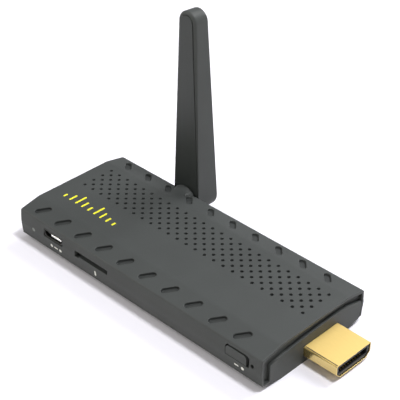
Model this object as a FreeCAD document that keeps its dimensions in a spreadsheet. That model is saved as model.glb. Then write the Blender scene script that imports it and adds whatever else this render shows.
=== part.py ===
import FreeCAD, Part
import math
import os
import re
import Sketcher

# Streaming stick: a flat plastic case with a video plug at one end, a power socket, a card
# slot and a push button on one side and a swivelling aerial on the other. Lengths are in
# millimetres. The origin is the middle of the flat underside, X runs to the video plug, Y
# to the aerial and Z up.

sizes = {
    # case, outside
    "case_length": 94.4,
    "case_height": 11.6,
    "waist_width": 41.0,
    "edge_width": 40.4,
    "base_width": 40.0,
    "crown_width": 26.8,
    "foot_width": 26.0,
    "shoulder_drop": 1.4,
    "base_rise": 1.9,
    "edge_radius": 0.6,
    # case, inside
    "wall": 1.2,
    "floor_thickness": 1.2,
    "fit_gap": 0.1,
    "tongue_thickness": 1.0,
    "tongue_length": 6.0,
    "tongue_height": 2.7,
    "tongue_pitch": 32.0,
    # open end round the plug
    "rim_wall": 0.95,
    "rim_depth": 2.6,
    "end_wall_thickness": 0.6,
    "block_thickness": 1.6,
    "groove_width": 2.4,
    "block_near_height": 7.2,
    "block_far_height": 8.6,
    "block_crown_radius": 170.0,
    "block_edge_radius": 0.7,
    # slots on the shoulders
    "slot_count": 10,
    "slot_pitch": 8.7,
    "slot_first": 41.0,
    "slot_middle": 3.5,
    "slot_span_x": 2.1,
    "slot_span_y": 2.35,
    "slot_radius": 0.92,
    "slot_depth": 0.6,
    # vent holes in the flat top
    "vent_pitch": 1.765,
    "vent_columns": 25,
    "vent_rows": 4,
    "vent_middle_x": 0.35,
    "vent_middle_y": 5.4,
    "vent_radius": 0.5,
    # board
    "board_height": 5.3,
    "board_thickness": 0.8,
    "board_gap": 0.3,
    "board_side_gap": 1.3,
    "screw_x": 38.0,
    "screw_y": 11.4,
    "screw_radius": 0.8,
    "screw_length": 4.6,
    "screw_head_radius": 1.5,
    "screw_head_height": 0.9,
    "post_radius": 1.9,
    # video plug
    "plug_width": 13.9,
    "plug_height": 4.45,
    "plug_side_height": 2.9,
    "plug_foot_width": 10.6,
    "plug_reach": 10.9,
    "plug_root": 5.6,
    "plug_middle": 2.85,
    "plug_sheet": 0.35,
    "plug_corner_radius": 0.5,
    "plug_mouth_depth": 0.5,
    "plug_slot_width": 11.4,
    "plug_slot_height": 1.9,
    "plug_slot_depth": 7.4,
    "contact_pitch": 1.0,
    "contact_count": 10,
    "contact_width": 0.45,
    "contact_thickness": 0.2,
    # power socket
    "power_middle": -32.6,
    "power_width": 7.9,
    "power_height": 2.35,
    "power_depth": 5.2,
    "power_bevel": 0.7,
    "power_sheet": 0.3,
    "power_setback": 0.25,
    "power_tongue_width": 6.0,
    "power_tongue_height": 0.6,
    "socket_gap": 0.12,
    # card socket
    "card_middle": -16.45,
    "card_width": 14.1,
    "card_depth": 14.6,
    "card_height": 1.75,
    "card_sheet": 0.2,
    "card_slot_width": 13.5,
    "card_slot_height": 1.3,
    "card_bay_width": 11.4,
    "card_notch_width": 1.6,
    "card_notch_drop": 0.55,
    "card_contact_count": 8,
    "card_contact_length": 5.2,
    # host socket at the rear end
    "host_width": 13.1,
    "host_height": 5.7,
    "host_depth": 13.6,
    "host_sheet": 0.35,
    "host_tongue_width": 10.8,
    "host_tongue_height": 1.84,
    "host_tongue_gap": 0.65,
    "host_back": 3.2,
    "host_contact_count": 4,
    "host_contact_pitch": 2.0,
    # push button
    "button_middle": 38.4,
    "button_width": 7.1,
    "button_height": 2.9,
    "button_rise": 0.5,
    "button_radius": 1.1,
    "button_gap": 0.15,
    "button_side_gap": 0.95,
    "button_top_gap": 0.4,
    "button_travel": 0.4,
    "button_flange": 0.4,
    "button_flange_thickness": 0.6,
    "button_stem_length": 0.9,
    "switch_width": 6.0,
    "switch_depth": 3.5,
    "switch_height": 3.4,
    "plunger_width": 1.4,
    "plunger_length": 0.9,
    "running_gap": 0.05,
    # hidden push switch behind the pin hole
    "pin_hole_x": 44.05,
    "pin_hole_radius": 0.62,
    "pin_switch_width": 2.6,
    "pin_switch_depth": 2.0,
    "pin_switch_height": 1.7,
    "pin_plunger_width": 0.8,
    "pin_plunger_length": 0.5,
    "pin_travel": 0.25,
    # power light
    "light_x": -41.4,
    "light_height": 5.7,
    "light_radius": 0.6,
    "light_flange": 0.4,
    "led_width": 1.6,
    "led_depth": 0.8,
    "led_height": 0.7,
    # aerial
    "aerial_x": -20.2,
    "pivot_height": 7.3,
    "hump_radius": 4.3,
    "hump_depth": 6.3,
    "aerial_gap": 0.3,
    "aerial_root_radius": 5.0,
    "aerial_tip_radius": 3.25,
    "aerial_reach": 57.4,
    "aerial_root_depth": 7.4,
    "aerial_tip_depth": 4.1,
    "aerial_bevel": 0.7,
    "panel_root_margin": 0.75,
    "panel_tip_margin": 1.3,
    "panel_thickness": 1.0,
    "panel_gap": 0.12,
    "panel_setback": 0.1,
    "shaft_radius": 2.0,
    "shaft_bore": 1.0,
    "shaft_flange_radius": 3.4,
    "shaft_flange": 0.7,
    "clip_radius": 2.6,
    "clip_thickness": 0.5,
    "clip_mouth": 2.4,
    "washer_radius": 2.7,
    "washer_thickness": 0.4,
    "shaft_overhang": 0.7,
    "cable_radius": 0.565,
    "cable_split": 17.0,
    "cable_slack": 2.0,
    "feed_middle": 24.05,
    "feed_bend": 1.8,
    "sleeve_radius": 1.4,
    "sleeve_bore": 1.0,
    "sleeve_foot": 12.5,
    "sleeve_length": 20.0,
    "wire_radius": 0.4,
    "wire_length": 20.0,
    "channel_gap": 0.05,
    # chips on the board
    "soc_x": 12.0,
    "soc_y": 1.0,
    "soc_width": 15.0,
    "soc_height": 1.2,
    "pad_thickness": 0.6,
    "pad_width": 14.0,
    "spreader_length": 38.0,
    "spreader_width": 24.0,
    "spreader_thickness": 1.0,
    "memory_length": 9.0,
    "memory_width": 12.0,
    "memory_pitch": 13.0,
    "memory_height": 1.0,
    "flash_x": 2.0,
    "flash_y": -12.2,
    "flash_length": 18.0,
    "flash_width": 10.0,
    "flash_height": 1.0,
    "power_chip_x": -30.0,
    "power_chip_y": -10.0,
    "power_chip_width": 5.0,
    "power_chip_height": 0.9,
    "coil_x": -30.0,
    "coil_y": 9.5,
    "coil_pitch": 4.8,
    "coil_width": 4.0,
    "coil_height": 2.2,
    "capacitor_x": 24.0,
    "capacitor_y": -14.5,
    "capacitor_pitch": 3.0,
    "capacitor_count": 4,
    "capacitor_length": 1.6,
    "capacitor_width": 3.2,
    "capacitor_height": 1.4,
    "crystal_x": -12.0,
    "crystal_y": -2.5,
    "crystal_length": 3.2,
    "crystal_width": 2.5,
    "crystal_height": 0.8,
    "radio_x": -2.0,
    "radio_y": 12.0,
    "radio_length": 12.0,
    "radio_width": 8.0,
    "radio_height": 1.6,
    "cable_plug_radius": 1.3,
    "cable_plug_height": 1.9,
    "cable_plug_barrel": 1.6,
}

doc = FreeCAD.newDocument("streaming_stick")
sheet = doc.addObject("Spreadsheet::Sheet", "Sizes")
for row, (name, number) in enumerate(sizes.items(), 1):
    sheet.set(f"A{row}", str(number))
    sheet.setAlias(f"A{row}", name)
doc.recompute()

maths = {"sqrt", "atan"}
planes = {"x": "YZ_Plane", "y": "XZ_Plane", "z": "XY_Plane"}


def in_cells(rule):
    # A rule such as "case_length / 2" is written with the names of the cells.
    return re.sub(r"[a-z]\w*", lambda word: word[0] if word[0] in maths else f"Sizes.{word[0]}", rule)


def number_of(rule):
    return float(sheet.evalExpression(in_cells(rule)))


def bind(thing, what, rule):
    thing.setExpression(what, in_cells(rule))


def new_body(label):
    return doc.addObject("PartDesign::Body", label)


def new_sketch(body, name, axis, place):
    # The sketch lies square to the axis, at that place along it.
    sketch = body.newObject("Sketcher::SketchObject", name + "_outline")
    plane = next(item for item in body.Origin.OriginFeatures if item.Role == planes[axis])
    sketch.AttachmentSupport = [(plane, "")]
    sketch.MapMode = "FlatFace"
    bind(sketch, "AttachmentOffset.Base.z", f"-({place})" if axis == "y" else place)
    return sketch


def fix_point(sketch, piece, which, x, y):
    for kind, rule in (("DistanceX", x), ("DistanceY", y)):
        index = sketch.addConstraint(Sketcher.Constraint(kind, -1, 1, piece, which, number_of(rule)))
        bind(sketch, f"Constraints[{index}]", rule)


def fix_radius(sketch, piece, rule):
    index = sketch.addConstraint(Sketcher.Constraint("Radius", piece, number_of(rule)))
    bind(sketch, f"Constraints[{index}]", rule)


def draw_circle(sketch, x, y, radius):
    centre = FreeCAD.Vector(number_of(x), number_of(y), 0)
    piece = sketch.addGeometry(Part.Circle(centre, FreeCAD.Vector(0, 0, 1), number_of(radius)))
    fix_point(sketch, piece, 3, x, y)
    fix_radius(sketch, piece, radius)


def draw_loop(sketch, points):
    # Corners run anticlockwise. A third rule makes the side that leaves a corner an outward arc.
    spots = [FreeCAD.Vector(number_of(point[0]), number_of(point[1]), 0) for point in points]
    first = sketch.GeometryCount
    for index, point in enumerate(points):
        start, end = spots[index], spots[(index + 1) % len(points)]
        if len(point) == 3:
            radius = number_of(point[2])
            chord = end - start
            rise = math.sqrt(radius ** 2 - (chord.Length / 2) ** 2)
            inward = FreeCAD.Vector(-chord.y, chord.x, 0).normalize()
            centre = (start + end) * 0.5 + inward * rise
            circle = Part.Circle(centre, FreeCAD.Vector(0, 0, 1), radius)
            sketch.addGeometry(Part.ArcOfCircle(circle, circle.parameter(start), circle.parameter(end)))
        else:
            sketch.addGeometry(Part.LineSegment(start, end))
    for index, point in enumerate(points):
        following = first + (index + 1) % len(points)
        sketch.addConstraint(Sketcher.Constraint("Coincident", first + index, 2, following, 1))
        fix_point(sketch, first + index, 1, point[0], point[1])
        if len(point) == 3:
            fix_radius(sketch, first + index, point[2])


def draw_tongue(sketch, start, end):
    # Two round ends, each with its centre and radius, joined by straight tangent sides.
    (x0, y0, r0), (x1, y1, r1) = [[number_of(rule) for rule in spot] for spot in (start, end)]
    heading = math.atan2(y1 - y0, x1 - x0)
    lean = math.acos((r0 - r1) / math.hypot(x1 - x0, y1 - y0))
    upper, lower = heading + lean, heading - lean
    first = sketch.GeometryCount
    up = FreeCAD.Vector(0, 0, 1)
    near = Part.Circle(FreeCAD.Vector(x0, y0, 0), up, r0)
    far = Part.Circle(FreeCAD.Vector(x1, y1, 0), up, r1)

    def on(x, y, radius, angle):
        return FreeCAD.Vector(x + radius * math.cos(angle), y + radius * math.sin(angle), 0)

    sketch.addGeometry(Part.ArcOfCircle(near, upper, lower + 2 * math.pi))
    sketch.addGeometry(Part.LineSegment(on(x0, y0, r0, lower), on(x1, y1, r1, lower)))
    sketch.addGeometry(Part.ArcOfCircle(far, lower, upper))
    sketch.addGeometry(Part.LineSegment(on(x1, y1, r1, upper), on(x0, y0, r0, upper)))
    for step in range(4):
        sketch.addConstraint(Sketcher.Constraint("Tangent", first + step, 2, first + (step + 1) % 4, 1))
    for piece, (x, y, radius) in ((first, start), (first + 2, end)):
        fix_point(sketch, piece, 3, x, y)
        fix_radius(sketch, piece, radius)


def draw(sketch, outline):
    kind, *rules = outline
    {"loop": draw_loop, "circle": draw_circle, "tongue": draw_tongue}[kind](sketch, *rules)


def along(x, y, forward, sideways, direction):
    # A point that lies so far forward and sideways of (x, y), seen along the direction's (cosine, sine).
    cosine, sine = direction
    return (f"{x} + ({forward}) * {cosine} - ({sideways}) * {sine}",
            f"{y} + ({forward}) * {sine} + ({sideways}) * {cosine}")


def grow(body, name, axis, low, high, *outlines):
    # Material between two places along the axis.
    sketch = new_sketch(body, name, axis, low)
    for outline in outlines:
        draw(sketch, outline)
    pad = body.newObject("PartDesign::Pad", name)
    pad.Profile = sketch
    pad.Reversed = axis == "y"
    bind(pad, "Length", f"({high}) - ({low})")
    doc.recompute()
    return pad


def cut(body, name, axis, low, high, *outlines):
    # The same for a hollow. It has to take something away.
    before = body.Shape.Volume
    sketch = new_sketch(body, name, axis, high if axis != "y" else low)
    for outline in outlines:
        draw(sketch, outline)
    pocket = body.newObject("PartDesign::Pocket", name)
    pocket.Profile = sketch
    bind(pocket, "Length", f"({high}) - ({low})")
    doc.recompute()
    if body.Shape.Volume >= before:
        raise RuntimeError(f"{name} cuts nothing")
    return pocket


def turn(body, name, x, height, points):
    # A round piece about a line along Y through (x, height), from (radius, place) corners.
    sketch = new_sketch(body, name, "z", height)
    draw_loop(sketch, [(f"{x} + {radius}", place) for radius, place in points])
    axle = sketch.addGeometry(Part.LineSegment(FreeCAD.Vector(number_of(x), 0, 0),
                                               FreeCAD.Vector(number_of(x), 1, 0)), True)
    fix_point(sketch, axle, 1, x, "0")
    fix_point(sketch, axle, 2, x, "1")
    spin = body.newObject("PartDesign::Revolution", name)
    spin.Profile = sketch
    spin.ReferenceAxis = (sketch, ["Axis0"])
    spin.Angle = 360
    doc.recompute()
    return spin


def soften(body, name, size, test, kind="Fillet"):
    # Rounds, or bevels, each edge of the finished body that passes the test.
    tip = body.Tip
    edges = [f"Edge{index}" for index, edge in enumerate(tip.Shape.Edges, 1) if test(edge)]
    if not edges:
        raise RuntimeError(f"{name} finds no edge")
    edging = body.newObject(f"PartDesign::{kind}", name)
    edging.Base = (tip, edges)
    bind(edging, "Radius" if kind == "Fillet" else "Size", size)
    doc.recompute()
    return edging


def repeat_in_rows(body, name, source, steps, mirror=False):
    # Copies a cut along straight rows. Each step is an axis of the cut's sketch, a pitch and a count.
    many = body.newObject("PartDesign::MultiTransform", name)
    many.Originals = [source]
    moves = []
    for axis, pitch, count in steps:
        row = body.newObject("PartDesign::LinearPattern", f"{name}_along_{axis}")
        plane = next(item for item in body.Origin.OriginFeatures if item.Role == f"{axis}_Axis")
        row.Direction = (plane, [""])
        row.Mode = "Spacing"
        bind(row, "Offset", pitch)
        bind(row, "Occurrences", count)
        moves.append(row)
    if mirror:
        other = body.newObject("PartDesign::Mirrored", f"{name}_other_side")
        plane = next(item for item in body.Origin.OriginFeatures if item.Role == "XZ_Plane")
        other.MirrorPlane = (plane, [""])
        moves.append(other)
    many.Transformations = moves
    body.Tip = many
    doc.recompute()
    return many


def block(label, x, y, z):
    # A box from its two limits along each axis.
    box = doc.addObject("Part::Box", label)
    for side, where, (low, high) in (("Length", "x", x), ("Width", "y", y), ("Height", "z", z)):
        bind(box, side, f"({high}) - ({low})")
        bind(box, f"Placement.Base.{where}", low)
    return box


def about(middle, width):
    return f"{middle} - ({width}) / 2", f"{middle} + ({width}) / 2"


def disc(label, x, y, z, radius):
    cylinder = doc.addObject("Part::Cylinder", label)
    bind(cylinder, "Radius", radius)
    bind(cylinder, "Height", f"({z[1]}) - ({z[0]})")
    for where, rule in (("x", x), ("y", y), ("z", z[0])):
        bind(cylinder, f"Placement.Base.{where}", rule)
    return cylinder


def group(label, members):
    compound = doc.addObject("Part::Compound", label)
    compound.Links = members
    return compound


def rectangle(x, y):
    return ("loop", [(x[0], y[0]), (x[1], y[0]), (x[1], y[1]), (x[0], y[1])])


nodes = []


def keep(node):
    nodes.append(node)
    return node


# Places that several pieces share
end = "case_length / 2"
edge_height = "(case_height - shoulder_drop)"
waist_height = "((base_rise + case_height - shoulder_drop) / 2)"
board_top = "(board_height + board_thickness)"
block_back = f"({end} - block_thickness)"
near_face = "(-waist_width / 2)"
near_inside = f"({near_face} + wall)"
near_cleared = f"({near_inside} + wall / 2)"
board_side = "(base_width / 2 - wall - board_side_gap)"
far_face = "(waist_width / 2)"

# Top cover: a shell with all four walls but the plug's end, which stays open
top_cover = keep(new_body("top_cover"))
grow(top_cover, "top_form", "x", f"-{end}", end, ("loop", [
    ("-base_width / 2", "base_rise"), ("base_width / 2", "base_rise"),
    ("waist_width / 2", waist_height), ("edge_width / 2", edge_height),
    ("crown_width / 2", "case_height"), ("-crown_width / 2", "case_height"),
    ("-edge_width / 2", edge_height), ("-waist_width / 2", waist_height)]))


def runs_along_x(edge):
    start, finish = edge.firstVertex().Point, edge.lastVertex().Point
    return abs(abs(finish.x - start.x) - number_of("case_length")) < 0.01


def is_shoulder_edge(edge):
    height = edge.CenterOfMass.z
    return runs_along_x(edge) and abs(height - number_of(edge_height)) < 0.01


soften(top_cover, "shoulder_rounding", "edge_radius", is_shoulder_edge)


def inner_outline(thickness):
    return ("loop", [
        (f"-base_width / 2 + {thickness}", "base_rise - 1"),
        (f"base_width / 2 - {thickness}", "base_rise - 1"),
        (f"base_width / 2 - {thickness}", "base_rise"), (f"waist_width / 2 - {thickness}", waist_height),
        (f"edge_width / 2 - {thickness}", f"{edge_height} - {thickness}"),
        ("crown_width / 2", f"case_height - {thickness}"),
        ("-crown_width / 2", f"case_height - {thickness}"),
        (f"-edge_width / 2 + {thickness}", f"{edge_height} - {thickness}"),
        (f"-waist_width / 2 + {thickness}", waist_height), (f"-base_width / 2 + {thickness}", "base_rise")])


cut(top_cover, "inside", "x", f"-{end} + wall", f"{end} + 1", inner_outline("wall"))
cut(top_cover, "thin_rim", "x", f"{end} - rim_depth", f"{end} + 1", inner_outline("rim_wall"))

# the round housing of the aerial's shaft
grow(top_cover, "hump", "y", f"{far_face} - hump_depth", far_face,
     ("circle", "aerial_x", "pivot_height", "hump_radius"))
cut(top_cover, "shaft_hole", "y", f"{far_face} - hump_depth - 1", f"{far_face} + 1",
    ("circle", "aerial_x", "pivot_height", "shaft_radius + running_gap"))

# openings in the near wall
power_top = f"({board_top} + power_height)"
cut(top_cover, "power_opening", "y", f"{near_face} - 1", near_cleared,
    rectangle(about("power_middle", "power_width + 2 * socket_gap"),
              (f"{board_top} - socket_gap", f"{power_top} + socket_gap")))
card_low = f"({board_top} + card_height - card_sheet - card_slot_height)"
card_high = f"({board_top} + card_height - card_sheet)"
card_left = "card_middle - card_slot_width / 2"
cut(top_cover, "card_opening", "y", f"{near_face} - 1", near_cleared, ("loop", [
    (card_left, f"{card_low} - card_notch_drop"),
    (f"{card_left} + card_notch_width", f"{card_low} - card_notch_drop"),
    (f"{card_left} + card_notch_width", card_low), ("card_middle + card_slot_width / 2", card_low),
    ("card_middle + card_slot_width / 2", card_high), (card_left, card_high)]))
button_low = "(board_height + button_rise)"
button_high = f"({button_low} + button_height)"
button_left = "(button_middle - button_width / 2)"
button_right = "(button_middle + button_width / 2)"
button_hole = (f"({button_left} - button_gap)", f"({button_right} + button_side_gap)")
button_hole_heights = (f"({button_low} - button_gap)", f"({button_high} + button_top_gap)")


def arched(x, z, radius):
    # A rectangle with its two upper corners rounded.
    return ("loop", [(x[0], z[0]), (x[1], z[0]), (x[1], f"{z[1]} - {radius}", radius),
                     (f"{x[1]} - {radius}", z[1]), (f"{x[0]} + {radius}", z[1], radius),
                     (x[0], f"{z[1]} - {radius}")])


cut(top_cover, "button_opening", "y", f"{near_face} - 1", near_cleared,
    arched(button_hole, button_hole_heights, "button_radius"))
pin_hole_height = f"({board_top} + pin_switch_height / 2)"
cut(top_cover, "pin_hole", "y", f"{near_face} - 1", near_cleared,
    ("circle", "pin_hole_x", pin_hole_height, "pin_hole_radius"))
cut(top_cover, "light_hole", "y", f"{near_face} - 1", near_cleared,
    ("circle", "light_x", "light_height", "light_radius + fit_gap / 2"))

# opening in the rear wall
host_low = "((case_height - host_height) / 2)"
host_high = "((case_height + host_height) / 2)"
cut(top_cover, "host_opening", "x", f"-{end} - 1", f"-{end} + wall + 1",
    rectangle(about("0", "host_width + 2 * socket_gap"),
              (f"{host_low} - socket_gap", f"{host_high} + socket_gap")))

# slanted slots sunk into both shoulders, the far row a mirror image of the near one
slot_sketch = new_sketch(top_cover, "slot", "z", edge_height)
slope = math.degrees(math.atan(number_of("2 * shoulder_drop / (edge_width - crown_width)")))
slot_sketch.AttachmentOffset = FreeCAD.Placement(
    FreeCAD.Vector(0, number_of("-edge_width / 2"), number_of(edge_height)),
    FreeCAD.Rotation(FreeCAD.Vector(1, 0, 0), slope))
bind(slot_sketch, "AttachmentOffset.Base.y", "-edge_width / 2")
bind(slot_sketch, "AttachmentOffset.Rotation.Angle", "atan(2 * shoulder_drop / (edge_width - crown_width))")
slot_length = "sqrt(slot_span_x * slot_span_x + slot_span_y * slot_span_y)"
slot_direction = (f"(slot_span_x / {slot_length})", f"(slot_span_y / {slot_length})")
slot_end, slot_side = f"({slot_length} / 2)", "slot_radius"
slot_bevel = "(slot_radius * (sqrt(2) - 1))"
draw_loop(slot_sketch, [
    along("-slot_first", "slot_middle", forward, sideways, slot_direction) for forward, sideways in (
        (f"-{slot_end} - {slot_side}", f"-{slot_bevel}"), (f"-{slot_end} - {slot_bevel}", f"-{slot_side}"),
        (f"{slot_end} + {slot_bevel}", f"-{slot_side}"), (f"{slot_end} + {slot_side}", f"-{slot_bevel}"),
        (f"{slot_end} + {slot_side}", slot_bevel), (f"{slot_end} + {slot_bevel}", slot_side),
        (f"-{slot_end} - {slot_bevel}", slot_side), (f"-{slot_end} - {slot_side}", slot_bevel))])
slot = top_cover.newObject("PartDesign::Pocket", "slot")
slot.Profile = slot_sketch
bind(slot, "Length", "slot_depth")
doc.recompute()
repeat_in_rows(top_cover, "slots", slot, [("X", "slot_pitch", "slot_count")], mirror=True)

# vent holes, two square grids that fill each other's gaps
vent_x = "(vent_middle_x - vent_pitch * (vent_columns - 1))"
vent_y = "(vent_middle_y - vent_pitch * (vent_rows - 1))"


def hexagon(x, y, radius):
    half, rise = f"{radius} / 2", f"{radius} * sqrt(3) / 2"
    return ("loop", [(f"{x} + {radius}", y), (f"{x} + {half}", f"{y} + {rise}"),
                     (f"{x} - {half}", f"{y} + {rise}"), (f"{x} - {radius}", y),
                     (f"{x} - {half}", f"{y} - {rise}"), (f"{x} + {half}", f"{y} - {rise}")])


for grid, shift, fewer in (("vents", "0", "0"), ("vents_between", "vent_pitch", "1")):
    hole = cut(top_cover, f"{grid}_first", "z", "case_height - wall - 1", "case_height + 1",
               hexagon(f"({vent_x} + {shift})", f"({vent_y} + {shift})", "vent_radius"))
    repeat_in_rows(top_cover, grid, hole, [("X", "2 * vent_pitch", f"vent_columns - {fewer}"),
                                           ("Y", "2 * vent_pitch", f"vent_rows - {fewer}")])

# Bottom cover: a bevelled plate with an end wall, a block on it round the plug, screw posts and
# tongues for the top cover
bottom_cover = keep(new_body("bottom_cover"))
grow(bottom_cover, "bottom_form", "x", f"-{end}", end, ("loop", [
    ("-foot_width / 2", "0"), ("foot_width / 2", "0"),
    ("base_width / 2", "base_rise"), ("-base_width / 2", "base_rise")]))
cut(bottom_cover, "bottom_inside", "z", "floor_thickness", "base_rise + 1",
    rectangle((f"-{end} + wall", f"{block_back}"), about("0", "foot_width")))
block_near = "-(waist_width / 2 - rim_wall - groove_width)"
in_floor = "(base_rise - floor_thickness / 2)"
in_rim = "(rim_wall + fit_gap)"
grow(bottom_cover, "end_wall", "x", block_back, f"{block_back} + end_wall_thickness", ("loop", [
    ("-foot_width / 2", in_floor), ("foot_width / 2", in_floor), (f"base_width / 2 - {in_rim}", "base_rise"),
    (f"waist_width / 2 - {in_rim}", waist_height),
    (f"edge_width / 2 - {in_rim}", f"{edge_height} - {in_rim}"),
    ("crown_width / 2", f"case_height - {in_rim}"), ("-crown_width / 2", f"case_height - {in_rim}"),
    (f"-edge_width / 2 + {in_rim}", f"{edge_height} - {in_rim}"),
    (f"-waist_width / 2 + {in_rim}", waist_height), (f"-base_width / 2 + {in_rim}", "base_rise")]))
grow(bottom_cover, "end_block", "x", block_back, end, ("loop", [
    (block_near, in_floor), ("foot_width / 2", in_floor),
    (f"base_width / 2 - {in_rim}", "base_rise"), (f"waist_width / 2 - {in_rim}", waist_height),
    (f"edge_width / 2 - {in_rim}", "block_far_height - shoulder_drop"),
    ("crown_width / 2", "block_far_height", "block_crown_radius"), (block_near, "block_near_height")]))
post_spots = [(f"{side} * screw_x", f"{side} * screw_y") for side in (-1, 1)]
grow(bottom_cover, "posts", "z", "floor_thickness", "board_height",
     *[("circle", x, y, "post_radius") for x, y in post_spots])
tongue_out = "(base_width / 2 - wall - fit_gap)"
for side, sign in (("near", "-"), ("far", "")):
    limits = sorted((f"{sign}{tongue_out}", f"{sign}({tongue_out} - tongue_thickness)"), key=number_of)
    grow(bottom_cover, f"{side}_tongues", "z", "base_rise", "base_rise + tongue_height",
         *[rectangle(about(f"{step} * tongue_pitch", "tongue_length"), limits) for step in (-1, 0, 1)])
cut(bottom_cover, "screw_holes", "z", f"{board_top} - screw_length", "board_height",
    *[("circle", x, y, "screw_radius") for x, y in post_spots])

plug_high = "board_height"
plug_low = "(board_height - plug_height)"
plug_back = f"({block_back} - plug_root)"
plug_mouth = f"({end} + plug_reach)"


def plug_outline(inset):
    # The wide side is up and the two lower corners are cut off.
    half, foot = f"(plug_width / 2 - {inset})", f"(plug_foot_width / 2 - {inset} / 2)"
    shoulder = f"{plug_high} - plug_side_height + {inset} / 2"
    low, high = f"{plug_low} + {inset}", f"{plug_high} - {inset}"
    return ("loop", [(f"plug_middle - {foot}", low), (f"plug_middle + {foot}", low),
                     (f"plug_middle + {half}", shoulder), (f"plug_middle + {half}", high),
                     (f"plug_middle - {half}", high), (f"plug_middle - {half}", shoulder)])


cut(bottom_cover, "plug_hole", "x", f"{plug_back} - fit_gap", f"{end} + 1", plug_outline("(-fit_gap)"))


def is_block_edge(edge):
    # the rim of the block's outer face, above the plate and as far as the case's side
    places = [vertex.Point for vertex in edge.Vertexes]
    in_groove = edge.CenterOfMass.y < number_of(f"edge_width / 2 - {in_rim}") - 0.01
    outer = all(abs(place.x - number_of(end)) < 0.01 for place in places)
    by_plug = abs(edge.CenterOfMass.y - number_of("plug_middle")) < number_of("plug_width")
    high = max(place.z for place in places) > number_of("board_height") + 1
    return outer and high and in_groove and (not by_plug or edge.Length > number_of("plug_width") + 1)


soften(bottom_cover, "block_rounding", "block_edge_radius", is_block_edge)

# Main board
board_rear, board_front = f"(-{end} + wall + board_gap)", f"({block_back} - board_gap)"
shaft_back = f"({far_face} - hump_depth - washer_thickness - clip_thickness - shaft_overhang)"
notch = "(hump_radius + board_gap)"
notch_depth = f"({shaft_back} - board_gap)"
host_inner_end = f"(-{end} + host_depth)"
main_board = keep(new_body("main_board"))
grow(main_board, "board", "z", "board_height", board_top, ("loop", [
    (board_rear, f"-{board_side}"), (board_front, f"-{board_side}"), (board_front, board_side),
    (f"aerial_x + {notch}", board_side), (f"aerial_x + {notch}", notch_depth),
    (f"aerial_x - {notch}", notch_depth), (f"aerial_x - {notch}", board_side),
    (board_rear, board_side), (board_rear, "host_width / 2"), (host_inner_end, "host_width / 2"),
    (host_inner_end, "-host_width / 2"), (board_rear, "-host_width / 2")]),
    *[("circle", x, y, "screw_radius + fit_gap") for x, y in post_spots])

screws = []
for count, (x, y) in enumerate(post_spots, 1):
    head = disc(f"screw_head_{count}", x, y, (board_top, f"{board_top} + screw_head_height"),
                "screw_head_radius")
    shank = disc(f"screw_shank_{count}", x, y, (f"{board_top} - screw_length", board_top), "screw_radius")
    screw = doc.addObject("Part::Fuse", f"screw_{count}")
    screw.Base, screw.Tool = head, shank
    screws.append(screw)
keep(group("board_screws", screws))

# Video plug, under the board's front edge
plug_shell = keep(new_body("video_plug_shell"))
grow(plug_shell, "plug_form", "x", plug_back, plug_mouth, plug_outline("0"))


def is_plug_corner(edge):
    start, finish = edge.firstVertex().Point, edge.lastVertex().Point
    return abs(finish.x - start.x) > number_of("plug_reach")


soften(plug_shell, "plug_rounding", "plug_corner_radius", is_plug_corner)
cut(plug_shell, "plug_inside", "x", f"{plug_back} - 1", f"{plug_mouth} + 1", plug_outline("plug_sheet"))

plug_core = keep(new_body("video_plug_insulator"))
core_front = f"({plug_mouth} - plug_mouth_depth)"
slot_middle_height = "(board_height - plug_height / 2)"
slot_heights = about(slot_middle_height, "plug_slot_height")
grow(plug_core, "core_form", "x", plug_back, core_front, plug_outline("plug_sheet"))
cut(plug_core, "core_slot", "x", f"{core_front} - plug_slot_depth", f"{core_front} + 1",
    rectangle(about("plug_middle", "plug_slot_width"), slot_heights))

plug_contacts = []
contact_limits = (f"{core_front} - plug_slot_depth", f"{core_front} - contact_width")
for count in range(int(sizes["contact_count"])):
    middle = f"(plug_middle + ({count} - (contact_count - 1) / 2) * contact_pitch)"
    plug_contacts.append(block(f"upper_contact_{count + 1}", contact_limits, about(middle, "contact_width"),
                               (f"{slot_heights[1]} - contact_thickness", slot_heights[1])))
for count in range(int(sizes["contact_count"]) - 1):
    middle = f"(plug_middle + ({count} - (contact_count - 2) / 2) * contact_pitch)"
    plug_contacts.append(block(f"lower_contact_{count + 1}", contact_limits, about(middle, "contact_width"),
                               (slot_heights[0], f"{slot_heights[0]} + contact_thickness")))
keep(group("video_plug_contacts", plug_contacts))

# Power socket, on the board behind the near wall
power_front = f"({near_face} + power_setback)"
power_back = f"({power_front} + power_depth)"


def power_outline(inset):
    left, right = f"(power_middle - power_width / 2 + {inset})", f"(power_middle + power_width / 2 - {inset})"
    low, high = f"({board_top} + {inset})", f"({power_top} - {inset})"
    return ("loop", [(f"{left} + power_bevel", low), (f"{right} - power_bevel", low),
                     (right, f"{low} + power_bevel"), (right, high), (left, high),
                     (left, f"{low} + power_bevel")])


power_shell = keep(new_body("power_socket_shell"))
grow(power_shell, "power_form", "y", power_front, power_back, power_outline("0"))
cut(power_shell, "power_inside", "y", f"{power_front} - 1", f"{power_back} - power_sheet",
    power_outline("power_sheet"))
keep(block("power_socket_tongue", about("power_middle", "power_tongue_width"),
           (f"{power_front} + power_bevel", f"{power_back} - power_sheet"),
           about(f"({board_top} + power_height / 2)", "power_tongue_height")))

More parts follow.
